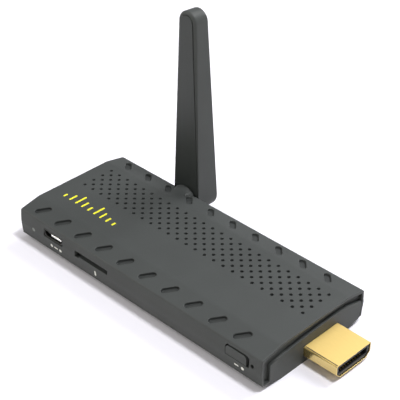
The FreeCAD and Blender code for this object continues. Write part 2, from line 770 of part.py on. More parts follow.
# Card socket: a plastic frame under a sheet-metal cover, with spring contacts on its floor
card_front = f"({near_inside} + board_gap)"
card_back = f"({card_front} + card_depth)"
card_frame = keep(new_body("card_socket_frame"))
grow(card_frame, "frame_form", "z", board_top, card_high,
     rectangle(about("card_middle", "card_width"), (card_front, card_back)))
cut(card_frame, "card_bay", "y", f"{card_front} - 1", f"{card_back} - wall",
    rectangle(about("card_middle", "card_bay_width"), (card_low, f"{card_high} + 1")))
keep(block("card_socket_cover", about("card_middle", "card_width"), (card_front, card_back),
           (card_high, f"{card_high} + card_sheet")))
card_contact_count = int(sizes["card_contact_count"])
card_contacts = []
for count in range(card_contact_count):
    middle = f"(card_middle + {count - (card_contact_count - 1) / 2} * contact_pitch)"
    card_contacts.append(block(f"card_contact_{count + 1}", about(middle, "contact_width"),
                               (f"{card_back} - wall - card_contact_length", f"{card_back} - wall"),
                               (card_low, f"{card_low} + contact_thickness")))
keep(group("card_socket_contacts", card_contacts))

# Host socket at the rear end, let into the board
host_shell = keep(new_body("host_socket_shell"))
grow(host_shell, "host_form", "x", f"-{end}", host_inner_end,
     rectangle(about("0", "host_width"), (host_low, host_high)))
host_inside = (about("0", "host_width - 2 * host_sheet"),
               (f"{host_low} + host_sheet", f"{host_high} - host_sheet"))
cut(host_shell, "host_inside", "x", f"-{end} - 1", f"{host_inner_end} - host_sheet", rectangle(*host_inside))
host_core = keep(new_body("host_socket_tongue"))
host_core_front = f"({host_inner_end} - host_sheet - host_back)"
tongue_top = f"({host_high} - host_sheet - host_tongue_gap)"
tongue_low = f"({tongue_top} - host_tongue_height)"
grow(host_core, "host_back_form", "x", host_core_front, f"{host_inner_end} - host_sheet",
     rectangle(*host_inside))
grow(host_core, "host_tongue_form", "x", f"-{end} + wall", host_core_front,
     rectangle(about("0", "host_tongue_width"), (tongue_low, tongue_top)))
host_contact_count = int(sizes["host_contact_count"])
host_contacts = []
for count in range(host_contact_count):
    middle = f"({count - (host_contact_count - 1) / 2} * host_contact_pitch)"
    host_contacts.append(block(f"host_contact_{count + 1}", (f"-{end} + wall", host_core_front),
                               about(middle, "host_contact_pitch / 2"),
                               (f"{tongue_low} - contact_thickness", tongue_low)))
keep(group("host_socket_contacts", host_contacts))

# Push button: a cap with a flange behind the wall and a stem, which presses the switch's plunger
button_back = f"({near_inside} + board_gap + button_flange_thickness)"
switch_front = f"({button_back} + button_stem_length + plunger_length)"
switch_z = f"({board_top} + switch_height / 2)"
button = keep(new_body("function_button"))
grow(button, "button_cap", "y", f"{near_face} + fit_gap", f"{near_inside} + board_gap",
     arched((button_left, button_right), (button_low, button_high), "button_radius"))
grow(button, "button_flange", "y", f"{near_inside} + board_gap", button_back,
     rectangle((f"{button_hole[0]} - button_flange", f"{button_hole[1]} + button_flange"),
               (f"{button_hole_heights[0]} - button_flange", button_high)))
grow(button, "button_stem", "y", button_back, f"{button_back} + button_stem_length",
     rectangle(about("button_middle", "plunger_width"), about(switch_z, "plunger_width")))


def push_switch(label, x, z, front, width, depth, heights, plunger_width, reach, travel):
    # A switch body with a square blind bore, and the square plunger that slides in it.
    body = keep(new_body(label))
    grow(body, f"{label}_form", "y", front, f"{front} + {depth}", rectangle(about(x, width), heights))
    bore = f"{plunger_width} + 2 * running_gap"
    cut(body, f"{label}_bore", "y", f"{front} - 1", f"{front} + {reach} + {travel} + running_gap",
        rectangle(about(x, bore), about(z, bore)))
    plunger = keep(new_body(label.replace("switch", "plunger")))
    grow(plunger, f"{label}_plunger", "y", f"{front} - {reach}", f"{front} + {reach}",
         rectangle(about(x, plunger_width), about(z, plunger_width)))


push_switch("function_switch", "button_middle", switch_z, switch_front, "switch_width", "switch_depth",
            (board_top, f"{board_top} + switch_height"), "plunger_width", "plunger_length", "button_travel")
push_switch("reset_switch", "pin_hole_x", pin_hole_height, f"(-{board_side} + board_gap)", "pin_switch_width",
            "pin_switch_depth", (board_top, f"{board_top} + pin_switch_height"), "pin_plunger_width",
            "pin_plunger_length", "pin_travel")

# Power light: a small lamp on the board and a clear pin through the wall
keep(block("status_led", about("light_x", "led_width"),
           (f"-{board_side} + fit_gap", f"-{board_side} + fit_gap + led_depth"),
           (board_top, f"{board_top} + led_height")))
light_pipe = keep(new_body("light_pipe"))
light_back = f"(-{board_side} - fit_gap)"
turn(light_pipe, "light_form", "light_x", "light_height", [
    ("0", f"{near_face} + fit_gap"), ("light_radius", f"{near_face} + fit_gap"),
    ("light_radius", f"{near_inside} + board_gap"),
    ("(light_radius + light_flange)", f"{near_inside} + board_gap"),
    ("(light_radius + light_flange)", light_back), ("0", light_back)])

# Aerial: a tapered housing with a let-in front panel, on a hollow shaft through the wall
aerial_face = f"({far_face} + aerial_gap)"
panel_front = f"({aerial_face} + panel_setback)"
panel_back = f"({panel_front} + panel_thickness)"
aerial_tip_height = "(pivot_height + aerial_reach)"
aerial_top = f"({aerial_tip_height} + aerial_tip_radius)"


def aerial_outline(root_margin, tip_margin):
    return ("tongue", ("aerial_x", "pivot_height", f"aerial_root_radius - {root_margin}"),
            ("aerial_x", aerial_tip_height, f"aerial_tip_radius - {tip_margin}"))


aerial = keep(new_body("aerial_housing"))
aerial_back = f"{aerial_face} + aerial_root_depth"
grow(aerial, "aerial_form", "y", aerial_face, aerial_back, aerial_outline("0", "0"))
cut(aerial, "aerial_taper", "x", "aerial_x - aerial_root_radius - 1", "aerial_x + aerial_root_radius + 1",
    ("loop", [(aerial_back, "pivot_height"), (f"{aerial_back} + 1", "pivot_height"),
              (f"{aerial_back} + 1", aerial_top), (f"{aerial_face} + aerial_tip_depth", aerial_top)]))


def is_outer_edge(edge):
    # both outlines of the housing, and not the lines across its back
    start, finish = edge.firstVertex().Point, edge.lastVertex().Point
    across = abs(finish.z - start.z) < 0.01 and abs(edge.CenterOfMass.z - start.z) < 0.01
    front = all(abs(place.Point.y - number_of(aerial_face)) < 0.01 for place in edge.Vertexes)
    return front and not across


soften(aerial, "aerial_bevel", "aerial_bevel", is_outer_edge, "Chamfer")
cut(aerial, "panel_seat", "y", f"{aerial_face} - 1", panel_back,
    aerial_outline("panel_root_margin", "panel_tip_margin"))
cut(aerial, "flange_seat", "y", panel_back, f"{panel_back} + shaft_flange",
    ("circle", "aerial_x", "pivot_height", "shaft_flange_radius"))
sleeve_top = "(sleeve_foot + sleeve_length)"
wire_top = f"({sleeve_top} + wire_length)"
cut(aerial, "sleeve_channel", "y", panel_back, "feed_middle + sleeve_radius + channel_gap",
    rectangle(about("aerial_x", "2 * (sleeve_radius + channel_gap)"),
              ("pivot_height - sleeve_radius", sleeve_top)))
cut(aerial, "wire_channel", "y", panel_back, "feed_middle + wire_radius + channel_gap",
    rectangle(about("aerial_x", "2 * (wire_radius + channel_gap)"),
              (f"{sleeve_top} - 1", f"{wire_top} + channel_gap")))

panel = keep(new_body("aerial_panel"))
grow(panel, "panel_form", "y", panel_front, panel_back,
     aerial_outline("panel_root_margin - panel_gap", "panel_tip_margin - panel_gap"),
     ("circle", "aerial_x", "pivot_height", "shaft_radius"))

shaft = keep(new_body("hinge_shaft"))
clip_front = f"({shaft_back} + shaft_overhang)"
clip_back = f"({clip_front} + clip_thickness)"
turn(shaft, "shaft_form", "aerial_x", "pivot_height", [
    ("shaft_bore", shaft_back), ("shaft_radius", shaft_back), ("shaft_radius", panel_back),
    ("shaft_flange_radius", panel_back),
    ("shaft_flange_radius", f"{panel_back} + shaft_flange"), ("shaft_bore", f"{panel_back} + shaft_flange")])

clip = keep(new_body("hinge_clip"))
turn(clip, "clip_form", "aerial_x", "pivot_height", [
    ("shaft_radius", clip_front), ("clip_radius", clip_front), ("clip_radius", clip_back),
    ("shaft_radius", clip_back)])
cut(clip, "clip_mouth", "y", f"{clip_front} - 1", f"{clip_back} + 1",
    rectangle(about("aerial_x", "clip_mouth"), ("pivot_height - clip_radius - 1", "pivot_height")))

washer = keep(new_body("hinge_washer"))
turn(washer, "washer_form", "aerial_x", "pivot_height", [
    ("(shaft_radius + running_gap)", clip_back), ("washer_radius", clip_back),
    ("washer_radius", f"{clip_back} + washer_thickness"),
    ("(shaft_radius + running_gap)", f"{clip_back} + washer_thickness")])

sleeve = keep(new_body("aerial_sleeve"))
grow(sleeve, "sleeve_form", "z", "sleeve_foot", sleeve_top,
     ("circle", "aerial_x", "feed_middle", "sleeve_radius"),
     ("circle", "aerial_x", "feed_middle", "sleeve_bore"))
keep(disc("aerial_wire", "aerial_x", "feed_middle", (sleeve_top, wire_top), "wire_radius"))


def octagon(x, y, radius):
    near, far = f"{radius} * sqrt(2 - sqrt(2)) / 2", f"{radius} * sqrt(2 + sqrt(2)) / 2"
    return ("loop", [(f"{x} {step_x}", f"{y} {step_y}") for step_x, step_y in (
        (f"+ {far}", f"- {near}"), (f"+ {far}", f"+ {near}"), (f"+ {near}", f"+ {far}"),
        (f"- {near}", f"+ {far}"), (f"- {far}", f"+ {near}"), (f"- {far}", f"- {near}"),
        (f"- {near}", f"- {far}"), (f"+ {near}", f"- {far}"))])


# Aerial cable in two lengths that meet inside the hollow shaft, where the aerial turns
cable = octagon("aerial_x", "pivot_height", "cable_radius")
cable_end = f"({shaft_back} - cable_slack)"
lead = keep(new_body("coax_lead"))
grow(lead, "lead_in_shaft", "y", cable_end, "cable_split", cable)

feed = keep(new_body("aerial_feed"))
feed_turn_start = "feed_middle - feed_bend"
grow(feed, "feed_in_shaft", "y", "cable_split", feed_turn_start, cable)
turn_sketch = new_sketch(feed, "feed_turn", "y", feed_turn_start)
draw(turn_sketch, cable)
turn_line = [("aerial_x", "pivot_height + feed_bend"), ("aerial_x + 1", "pivot_height + feed_bend")]
axle = turn_sketch.addGeometry(Part.LineSegment(
    *[FreeCAD.Vector(number_of(across), number_of(up), 0) for across, up in turn_line]), True)
for which, (across, up) in enumerate(turn_line, 1):
    fix_point(turn_sketch, axle, which, across, up)
feed_turn = feed.newObject("PartDesign::Revolution", "feed_turn")
feed_turn.Profile = turn_sketch
feed_turn.ReferenceAxis = (turn_sketch, ["Axis0"])
feed_turn.Angle = 90
doc.recompute()
grow(feed, "feed_in_sleeve", "z", "pivot_height + feed_bend", sleeve_top,
     octagon("aerial_x", "feed_middle", "cable_radius"))
print("cable bend, mm:", number_of("feed_bend"))

cable_plug_y = f"({cable_end} - cable_plug_barrel - cable_plug_radius)"
cable_plug_heights = (board_top, f"{board_top} + cable_plug_height")
plug_cap = disc("cable_plug_cap", "aerial_x", cable_plug_y, cable_plug_heights, "cable_plug_radius")
plug_barrel = block("cable_plug_crimp", about("aerial_x", "cable_plug_barrel"), (cable_plug_y, cable_end),
                    cable_plug_heights)
cable_plug = keep(doc.addObject("Part::Fuse", "coax_plug"))
cable_plug.Base, cable_plug.Tool = plug_cap, plug_barrel

# Chips and other small parts on the board
soc_heights = (board_top, f"({board_top} + soc_height)")
keep(block("processor", about("soc_x", "soc_width"), about("soc_y", "soc_width"), soc_heights))
pad_heights = (soc_heights[1], f"({soc_heights[1]} + pad_thickness)")
keep(block("thermal_pad", about("soc_x", "pad_width"), about("soc_y", "pad_width"), pad_heights))
keep(block("heat_spreader", about("soc_x", "spreader_length"), about("soc_y", "spreader_width"),
           (pad_heights[1], f"{pad_heights[1]} + spreader_thickness")))
keep(group("memory_chips", [
    block(f"memory_chip_{count}", about(f"(soc_x {side} memory_pitch / 2)", "memory_length"),
          about("soc_y", "memory_width"), ("board_height - memory_height", "board_height"))
    for count, side in enumerate("-+", 1)]))
keep(block("flash_chip", about("flash_x", "flash_length"), about("flash_y", "flash_width"),
           (board_top, f"{board_top} + flash_height")))
keep(block("power_chip", about("power_chip_x", "power_chip_width"), about("power_chip_y", "power_chip_width"),
           (board_top, f"{board_top} + power_chip_height")))
keep(block("clock_crystal", about("crystal_x", "crystal_length"), about("crystal_y", "crystal_width"),
           (board_top, f"{board_top} + crystal_height")))
keep(block("radio_module", about("radio_x", "radio_length"), about("radio_y", "radio_width"),
           (board_top, f"{board_top} + radio_height")))
keep(group("power_coils", [
    block(f"power_coil_{count}", about(f"(coil_x {side} coil_pitch / 2)", "coil_width"),
          about("coil_y", "coil_width"), (board_top, f"{board_top} + coil_height"))
    for count, side in enumerate("-+", 1)]))
keep(group("capacitors", [
    block(f"capacitor_{count + 1}", about(f"(capacitor_x + {count} * capacitor_pitch)", "capacitor_length"),
          about("capacitor_y", "capacitor_width"), (board_top, f"{board_top} + capacitor_height"))
    for count in range(int(sizes["capacitor_count"]))]))

# Everything is checked before anything is written
doc.recompute()
for item in doc.Objects:
    if {"Invalid", "Error"} & set(item.State):
        raise RuntimeError(f"{item.Label} failed: {item.State}")
for node in nodes:
    if node.Shape.isNull() or not node.Shape.isValid() or not node.Shape.Solids:
        raise RuntimeError(f"{node.Label} has no sound solid")

os.makedirs("parts", exist_ok=True)
for node in nodes:
    node.Shape.exportStep(f"parts/{node.Label}.step")
print(len(nodes), "pieces written")
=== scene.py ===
import math

import bmesh
import bpy
from mathutils import Matrix, Vector


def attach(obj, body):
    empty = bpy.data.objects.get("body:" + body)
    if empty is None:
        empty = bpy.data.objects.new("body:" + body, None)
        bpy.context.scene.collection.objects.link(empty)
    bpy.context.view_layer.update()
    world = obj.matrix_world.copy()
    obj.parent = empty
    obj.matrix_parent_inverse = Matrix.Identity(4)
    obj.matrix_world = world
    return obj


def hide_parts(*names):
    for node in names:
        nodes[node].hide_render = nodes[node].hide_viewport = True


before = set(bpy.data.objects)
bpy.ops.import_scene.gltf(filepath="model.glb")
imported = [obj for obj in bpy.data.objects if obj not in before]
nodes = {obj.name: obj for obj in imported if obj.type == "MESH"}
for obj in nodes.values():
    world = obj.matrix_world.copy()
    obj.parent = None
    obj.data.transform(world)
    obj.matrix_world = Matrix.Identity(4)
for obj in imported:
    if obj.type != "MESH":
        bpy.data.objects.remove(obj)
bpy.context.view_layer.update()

scene = bpy.context.scene
mm = 0.001  # pieces and camera are given in millimetres, floor and lights in metres
white = (1, 1, 1, 1)


# Small tools that the pieces share

def srgb(code):  # "#rrggbb" as the shader's linear colour
    parts = [int(code[i:i + 2], 16) / 255 for i in (1, 3, 5)]
    return [p / 12.92 if p < 0.04045 else ((p + 0.055) / 1.055) ** 2.4 for p in parts] + [1.0]


def addNode(tree, kind, inputs=None, **settings):
    # Each input, by name or number, gets a value, a socket or a list of sockets
    node = tree.nodes.new(kind)
    for key, value in settings.items():
        setattr(node, key, value)
    for key, value in (inputs or {}).items():
        several = isinstance(value, list) and isinstance(value[0], bpy.types.NodeSocket)
        for source in value if several else [value]:
            if isinstance(source, bpy.types.NodeSocket):
                tree.links.new(source, node.inputs[key])
            else:
                node.inputs[key].default_value = source
    return node


def addObject(name, data):
    item = bpy.data.objects.new(name, data)
    scene.collection.objects.link(item)
    return item


def meshObject(name, vertices, faces, material=None, weld=1e-7):  # vertices in millimetres
    mesh = bpy.data.meshes.new(name)
    mesh.from_pydata([Vector(v) * mm for v in vertices], [], faces)
    work = bmesh.new()
    work.from_mesh(mesh)
    bmesh.ops.remove_doubles(work, verts=work.verts, dist=weld)
    bmesh.ops.recalc_face_normals(work, faces=work.faces)
    work.to_mesh(mesh)
    work.free()
    if material:
        mesh.materials.append(material)
    return addObject(name, mesh)


def loft(rings, closed=False):  # rings of as many points each, with flat ends or closed end to start
    count, last = len(rings[0]), len(rings) - 1
    vertices = [point for ring in rings for point in ring]
    faces = [] if closed else [list(range(count))[::-1], list(range(last * count, (last + 1) * count))]
    for row in range(last + 1 if closed else last):
        following = (row + 1) % len(rings)
        for i in range(count):
            j = (i + 1) % count
            faces.append([row * count + i, row * count + j, following * count + j, following * count + i])
    return vertices, faces


def insetLoop(points, amounts):  # a loop that runs anticlockwise, each side moved inwards by its amount
    if not isinstance(amounts, list):
        amounts = [amounts] * len(points)
    sides = []
    for i, point in enumerate(points):
        start, end = Vector(point), Vector(points[(i + 1) % len(points)])
        run = (end - start).normalized()
        sides.append((start + Vector((-run.y, run.x)) * amounts[i], run))
    moved = []
    for i, (start, run) in enumerate(sides):
        before, beforeRun = sides[i - 1]
        cross = beforeRun.x * run.y - beforeRun.y * run.x
        if abs(cross) < 1e-6:  # the two sides are in line
            moved.append(tuple(start))
            continue
        gap = start - before
        moved.append(tuple(before + beforeRun * ((gap.x * run.y - gap.y * run.x) / cross)))
    return moved


def roundLoop(points, radii, steps=5):  # each corner of the loop as an arc
    loop = []
    for i, point in enumerate(points):
        corner, before, after = Vector(point), Vector(points[i - 1]), Vector(points[(i + 1) % len(points)])
        radius = radii[i] if isinstance(radii, list) else radii
        if radius <= 0:
            loop.append(tuple(corner))
            continue
        back, on = (before - corner).normalized(), (after - corner).normalized()
        half = back.angle(on) / 2
        centre = corner + (back + on).normalized() * radius / math.sin(half)
        first = corner + back * radius / math.tan(half) - centre
        last = corner + on * radius / math.tan(half) - centre
        turn = first.angle_signed(last)
        for step in range(steps + 1):
            angle = -turn * step / steps
            loop.append((centre.x + first.x * math.cos(angle) - first.y * math.sin(angle),
                         centre.y + first.x * math.sin(angle) + first.y * math.cos(angle)))
    return loop


def edgeSteps(radius, steps=4):  # (inset, distance from the end) round a quarter turn, from the flat end on
    return [(radius * (1 - math.sin(t)), radius * (1 - math.cos(t)))
            for t in (math.pi / 2 * i / steps for i in range(steps + 1))]


def circle(x, y, radius, count):  # gives a function, whose points lie outside the circle by extra
    return lambda extra: [(x + (radius + extra) * math.cos(a), y + (radius + extra) * math.sin(a))
                          for a in (2 * math.pi * i / count for i in range(count))]


def latheY(profile, x, z, count):  # (radius, y) pairs turned about a line along Y
    return loft([[(u, y, v) for u, v in circle(x, z, radius, count)(0)] for radius, y in profile])


def smooth(item, angle=38):  # smooth shading that keeps the flat faces flat
    item.data.shade_smooth()
    item.data.set_sharp_from_angle(angle=math.radians(angle))
    weigh = item.modifiers.new("weigh", "WEIGHTED_NORMAL")
    weigh.keep_sharp = True


def finished(item, body, slot, *replaced):
    smooth(item)
    if replaced:
        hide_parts(*replaced)
    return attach(item, body)


def evaluated(item, name):  # the modifiers' result as a plain mesh
    bpy.context.view_layer.update()
    mesh = bpy.data.meshes.new_from_object(item.evaluated_get(bpy.context.evaluated_depsgraph_get()))
    mesh.name = name
    bpy.data.objects.remove(item)
    return addObject(name, mesh)


def softCopy(node, name, material, width, segments=2, flat=2.0, sharp=35, weld=2e-6):
    # A CAD piece with its edges eased. Faces within flat degrees are joined, edges over sharp degrees eased
    mesh = nodes[node].data.copy()
    work = bmesh.new()
    work.from_mesh(mesh)
    bmesh.ops.remove_doubles(work, verts=work.verts, dist=weld)
    bmesh.ops.dissolve_limit(work, angle_limit=math.radians(flat), verts=work.verts, edges=work.edges)
    work.to_mesh(mesh)
    work.free()
    mesh.materials.clear()
    mesh.materials.append(material)
    item = addObject(name, mesh)
    ease = item.modifiers.new("ease", "BEVEL")
    ease.width, ease.segments = width * mm, segments
    ease.limit_method, ease.angle_limit = "ANGLE", math.radians(sharp)
    return evaluated(item, name)


# Materials

noiseSpan = (0.3, 0.7)  # nearly all values of a noise lie in it
# patch is the size in millimetres of the slow changes of tone
plasticLook = {"ior": 1.53, "patch": 14, "detail": 3.0, "patchDetail": 2.0, "fineness": 0.6,
               "spread": 0.05, "bump": 0.35}
metalLook = {"detail": 3.0, "tones": (0.96, 1.0)}


def shaderOf(material):
    tree = material.node_tree
    return tree, next(node for node in tree.nodes if node.type == "BSDF_PRINCIPLED")


def newMaterial(name, settings):
    material = bpy.data.materials.new(name)
    material.use_nodes = True
    tree, shader = shaderOf(material)
    for key, value in settings.items():
        shader.inputs[key].default_value = value
    return material, tree, shader, addNode(tree, "ShaderNodeTexCoord").outputs["Object"]


def followNoise(tree, shader, colour, toneNoise, tones, levelNoise, levels):
    # The colour is scaled by a number within the tones, and the roughness lies within the levels
    scale, level = (addNode(tree, "ShaderNodeMapRange", {
        "Value": noise.outputs["Fac"], "From Min": noiseSpan[0], "From Max": noiseSpan[1],
        "To Min": low, "To Max": high}).outputs["Result"]
        for noise, (low, high) in ((toneNoise, tones), (levelNoise, levels)))
    tint = addNode(tree, "ShaderNodeVectorMath", {0: srgb(colour)[:3], "Scale": scale}, operation="SCALE")
    tree.links.new(tint.outputs["Vector"], shader.inputs["Base Color"])
    tree.links.new(level, shader.inputs["Roughness"])


def grainedPlastic(name, colour, roughness, grain, depth, variation=0.06, specular=0.5):
    look = plasticLook
    material, tree, shader, place = newMaterial(name, {"IOR": look["ior"], "Specular IOR Level": specular})
    fine = addNode(tree, "ShaderNodeTexNoise", {
        "Vector": place, "Scale": 1 / (grain * mm), "Detail": look["detail"], "Roughness": look["fineness"]})
    wide = addNode(tree, "ShaderNodeTexNoise", {
        "Vector": place, "Scale": 1 / (look["patch"] * mm), "Detail": look["patchDetail"]})
    followNoise(tree, shader, colour, wide, (1 - variation, 1 + variation),
                fine, (roughness - look["spread"], roughness + look["spread"]))
    bump = addNode(tree, "ShaderNodeBump", {
        "Height": fine.outputs["Fac"], "Strength": look["bump"], "Distance": depth * mm})
    tree.links.new(bump.outputs["Normal"], shader.inputs["Normal"])
    return material


def plainMetal(name, colour, roughness, streak=(1, 1, 1), streakSize=0.4, spread=0.05):
    material, tree, shader, place = newMaterial(name, {"Metallic": 1.0})
    stretch = addNode(tree, "ShaderNodeMapping", {"Vector": place, "Scale": streak})
    lines = addNode(tree, "ShaderNodeTexNoise", {
        "Vector": stretch.outputs["Vector"], "Scale": 1 / (streakSize * mm), "Detail": metalLook["detail"]})
    followNoise(tree, shader, colour, lines, metalLook["tones"],
                lines, (roughness - spread, roughness + spread))
    return material


# ABS, spark-eroded mould: an even, satin dark grey with a grain that only softens the light.
# The grain is drawn at 0.3 mm, about twice its real size, so that it shows
caseAbs = grainedPlastic("mouldedAbs", "#3d4040", 0.55, 0.3, 0.02, specular=0.3)
# The same ABS from a smoother mould, for the aerial's front panel
panelAbs = grainedPlastic("smoothAbs", "#2f3332", 0.45, 0.3, 0.012, specular=0.35)
# Liquid crystal polymer with glass fibre, moulded: near black and dull
socketResin = grainedPlastic("socketResin", "#141414", 0.5, 0.2, 0.01)
# Epoxy moulding compound of chips: matt, black with a brown cast
chipResin = grainedPlastic("chipResin", "#1c1b1c", 0.6, 0.15, 0.01)
# Green solder mask over glass-fibre laminate: glossy, with the weave just under it
solderMask = grainedPlastic("solderMask", "#12402a", 0.25, 0.5, 0.01, 0.15)
# Silicone pad: matt grey-blue rubber
siliconePad = grainedPlastic("siliconePad", "#6d7a86", 0.8, 0.4, 0.03, 0.08, 0.3)
# Nylon washer: milky and waxy
nylon = grainedPlastic("nylon", "#d9d8cf", 0.45, 0.3, 0.005)
# Cable jacket of fluoropolymer: smooth dark grey
cableJacket = grainedPlastic("cableJacket", "#232426", 0.35, 0.4, 0.005)
# Barium titanate capacitors: sandy brown ceramic
ceramic = grainedPlastic("capacitorCeramic", "#9a7d5c", 0.55, 0.2, 0.01)
# Polycarbonate with a frosted tip: pale and hazy where it ends in the wall
frostedClear = grainedPlastic("frostedClear", "#6f7472", 0.4, 0.3, 0.005, 0.03)
# Pad-printed ink, opaque with soft gloss
yellowInk = grainedPlastic("yellowInk", "#e6e22c", 0.5, 0.2, 0.004, 0.03)
whiteInk = grainedPlastic("whiteInk", "#dadcda", 0.5, 0.2, 0.004, 0.03)
# Gold flash over nickel on a drawn sheet: warm and bright, with faint lines along the plug
goldPlate = plainMetal("goldPlate", "#e3cc86", 0.4, (0.12, 1, 1), 0.25, 0.02)
# The same plating on the plug's shell
shellGold = plainMetal("shellGold", "#dfc784", 0.62, (0.12, 1, 1), 0.25, 0.02)
# Tin over cold-rolled steel: greyish white, soft reflection
tinnedSheet = plainMetal("tinnedSheet", "#d4d4d0", 0.28)
# Reflowed tin on the power socket's contact plate: mirror bright
brightTin = plainMetal("brightTin", "#fbfbf6", 0.25)
# The power socket's steel sheet, coloured dark grey: painted shade of its shadowed opening, with a soft gloss
shadedSocketSteel = plainMetal("shadedSocketSteel", "#4a4a47", 0.45)
# Stainless steel, turned: grey with fine rings
turnedSteel = plainMetal("turnedSteel", "#a9a9a6", 0.3, (1, 4, 1), 0.3)
# Rolled aluminium sheet: pale, lines along the sheet
rolledAluminium = plainMetal("rolledAluminium", "#c9cbcd", 0.35, (0.05, 1, 1), 0.2)
print("materials made")


# Top cover: shell, round housing of the aerial's shaft, then every cut

topCover = {
    "corners": [(-20.0, 1.9), (20.0, 1.9), (20.5, 6.05), (20.2, 10.2), (13.4, 11.6),
                (-13.4, 11.6), (-20.2, 10.2), (-20.5, 6.05)],
    "rounding": [0, 0, 8.0, 0.6, 6.0, 6.0, 0.6, 8.0], "leastRounding": 0.05,
    "end": 47.2, "rearEdge": 0.4, "frontEdge": 0.25,
    "wall": 1.2, "rimWall": 0.95, "rimDepth": 2.6, "rimEdge": 0.3, "rimBow": 0.3, "overshoot": 1,
    "humpRadius": 4.55, "humpStart": 3.3, "humpFrom": 14.2, "humpTo": 20.5, "humpEdge": 0.3, "humpSides": 96,
    "pivotX": -20.2, "pivotZ": 7.3, "shaftHole": 2.05, "shaftFrom": 10, "shaftTo": 22, "shaftSides": 48,
    "ventPitch": 1.765, "ventColumns": 25, "ventRows": 4, "ventMiddle": (0.35, 5.4), "ventRadius": 0.5,
    "ventLip": 0.1, "ventSides": 20, "ventOvershoot": 0.5,
    "slotCount": 10, "slotPitch": 8.7, "slotFirst": -41.0, "slotAcross": 3.5, "slotSpan": (2.1, 2.35),
    "slotRadius": 0.92, "slotDepth": 0.82, "slotLip": 0.2, "slotFloor": 0.24, "slotSides": 24,
    # The shade values set the painted shade on the slots' floors: its depths, reach and darkest level
    "shadeFrom": 0.3, "shadeTo": 0.6, "shadeReach": 2.6, "shadeLevel": 0.78,
}
coverTop = topCover["corners"][4][1]


def nearShoulder():  # its outer corner and its slope
    corner, crown = topCover["corners"][6], topCover["corners"][5]
    return corner, math.atan2(crown[1] - corner[1], crown[0] - corner[0])


def slotShadeAbs():  # the case's ABS, darker on the slots' floors: painted shade in the recesses
    (cornerY, cornerZ), slope = nearShoulder()
    outward = (0, math.sin(slope), math.cos(slope))
    plane = abs(cornerY) * outward[1] + cornerZ * outward[2]
    middle = abs(cornerY) - topCover["slotAcross"] * math.cos(slope)
    material = caseAbs.copy()
    material.name = "coverAbs"
    tree, shader = shaderOf(material)
    place = addNode(tree, "ShaderNodeTexCoord").outputs["Object"]
    folded = addNode(tree, "ShaderNodeVectorMath", {0: place}, operation="ABSOLUTE").outputs["Vector"]
    height = addNode(tree, "ShaderNodeVectorMath", {0: folded, 1: outward}, operation="DOT_PRODUCT")
    sunk = addNode(tree, "ShaderNodeMapRange", {
        "Value": height.outputs["Value"], "From Min": (plane - topCover["shadeTo"]) * mm,
        "From Max": (plane - topCover["shadeFrom"]) * mm, "To Min": 1.0, "To Max": 0.0})
    across = addNode(tree, "ShaderNodeSeparateXYZ", {0: folded}).outputs["Y"]
    within = addNode(tree, "ShaderNodeMath", {0: across, 1: middle * mm, 2: topCover["shadeReach"] * mm},
                     operation="COMPARE")
    inside = addNode(tree, "ShaderNodeMath", {0: sunk.outputs["Result"], 1: within.outputs[0]},
                     operation="MULTIPLY")
    level = addNode(tree, "ShaderNodeMapRange", {"Value": inside.outputs[0], "To Min": 1.0,
                                                 "To Max": topCover["shadeLevel"]})
    plain = shader.inputs["Base Color"].links[0].from_socket
    shaded = addNode(tree, "ShaderNodeVectorMath", {0: plain, "Scale": level.outputs["Result"]},
                     operation="SCALE")
    tree.links.new(shaded.outputs["Vector"], shader.inputs["Base Color"])
    return material


def coverSection(x, inset, bottom=0):  # the bottom side is moved by an amount of its own
    corners = insetLoop(topCover["corners"], [bottom] + [inset] * 7)
    radii = [max(radius - inset, topCover["leastRounding"]) if radius else 0
             for radius in topCover["rounding"]]
    return [(x, y, z) for y, z in roundLoop(corners, radii)]


def stadium(length, radius, count):  # outline of a slot about its middle
    half = count // 2
    return [(side * length / 2 + radius * math.cos(a), radius * math.sin(a)) for side in (1, -1)
            for a in (math.pi * (i / half - side / 2) for i in range(half + 1))]


def flared(outline, place, deep, lip, floor=0.0, above=0.6, steps=4):
    # A cutter: outline(extra) gives its ring, place(u, v, height) the point. Its mouth opens out by the lip.
    # One that ends inside the wall has a floor with a round edge
    rings = [[place(u, v, along - deep) for u, v in outline(-inset)]
             for inset, along in (edgeSteps(floor, 3) if floor else [(0, 0)])]
    rings += [[place(u, v, -along) for u, v in outline(inset)]
              for inset, along in reversed(edgeSteps(lip, steps))]
    rings.append([place(u, v, above) for u, v in outline(lip)])
    return loft(rings)


def slotCutter(name, side):  # side 1 is the near row, -1 the far one
    (cornerY, cornerZ), slope = nearShoulder()
    spanX, spanY = topCover["slotSpan"]
    length, heading = math.hypot(spanX, spanY), math.atan2(spanY, spanX)

    def outline(extra):
        return stadium(length, topCover["slotRadius"] + extra, topCover["slotSides"])

    def place(u, v, height):
        x = topCover["slotFirst"] + u * math.cos(heading) - v * math.sin(heading)
        up = topCover["slotAcross"] + u * math.sin(heading) + v * math.cos(heading)
        y = cornerY + up * math.cos(slope) - height * math.sin(slope)
        return (x, side * y, cornerZ + up * math.sin(slope) + height * math.cos(slope))

    return meshObject(name, *flared(outline, place, topCover["slotDepth"], topCover["slotLip"],
                                    topCover["slotFloor"]))


def ventCutter():
    outline = circle(0, 0, topCover["ventRadius"], topCover["ventSides"])
    return meshObject("ventCutter", *flared(outline, lambda u, v, height: (u, v, coverTop + height),
                                            topCover["wall"] + topCover["ventOvershoot"], topCover["ventLip"],
                                            steps=2))


